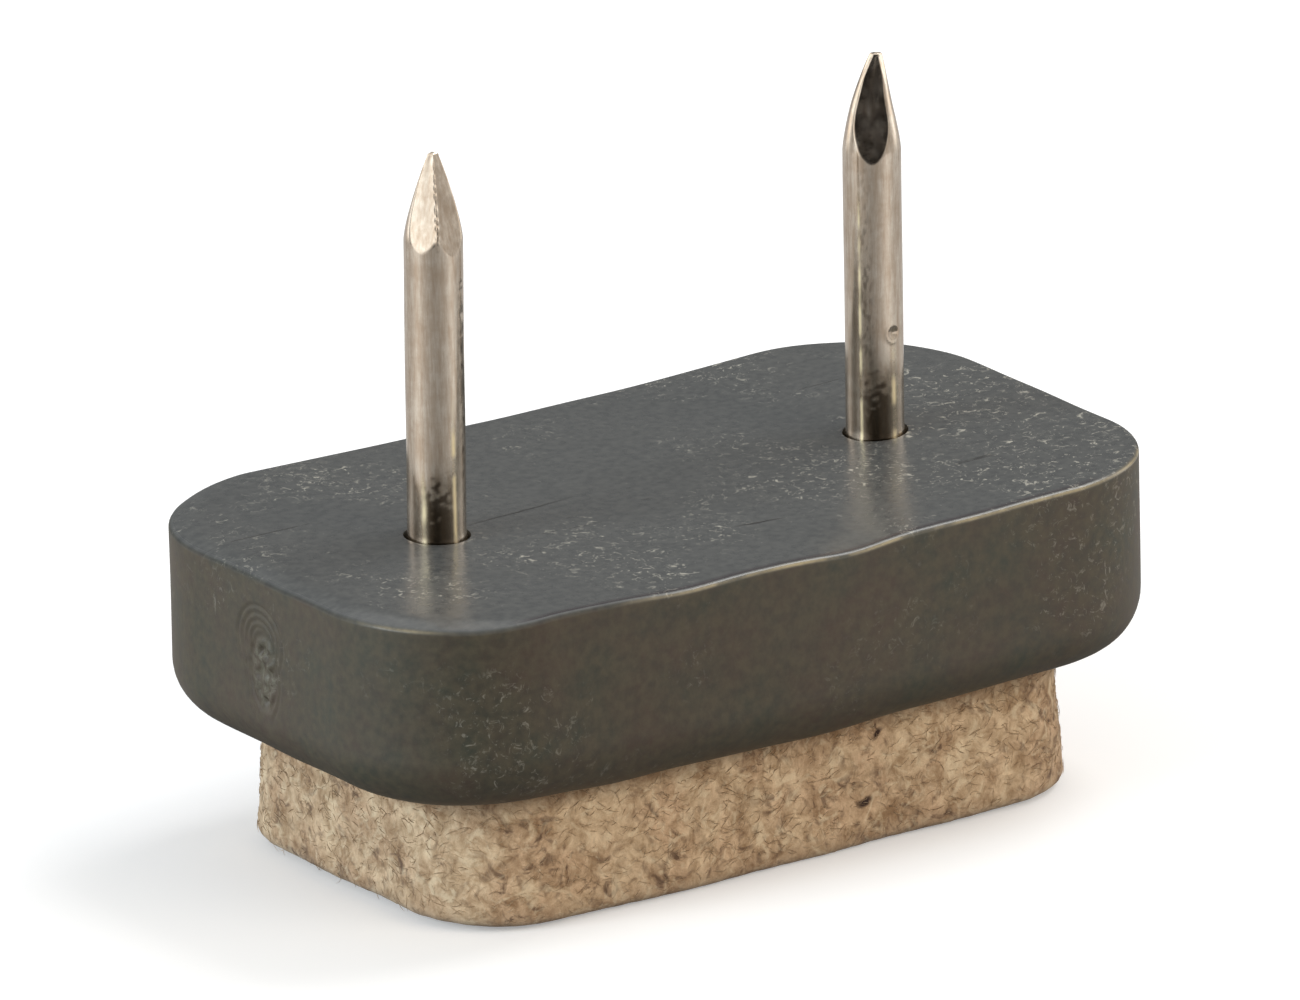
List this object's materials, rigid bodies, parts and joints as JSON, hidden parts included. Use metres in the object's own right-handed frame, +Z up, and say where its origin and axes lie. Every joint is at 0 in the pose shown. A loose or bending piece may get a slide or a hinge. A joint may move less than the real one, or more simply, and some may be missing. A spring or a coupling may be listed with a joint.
{
  "type": "nail-on furniture glide",
  "caption": "Rounded rectangular plastic furniture glide with a thick felt sole set in its underside and sharp nails on top that drive into the end of a leg.",
  "frame": {"origin": "centre of the felt sole, where the glide stands on the floor", "axes": "+X along the length through both nails, +Z up along the nails into the leg, +Y across the width"},
  "size_m": [0.035, 0.0206, 0.0273],
  "materials": {
    "grey_plastic": "dark grey injection-moulded plastic, semi-gloss on top and satin on the sides",
    "plated_steel": "bright nickel-plated steel with drawing lines and small handling marks",
    "brown_felt": "mottled tan-brown pressed wool felt with pale and dark fibres"
  },
  "bodies": {
    "root": {"moulded_foot": "grey_plastic", "left_nail": "plated_steel", "right_nail": "plated_steel", "felt_sole": "brown_felt"}
  },
  "joints": []
}
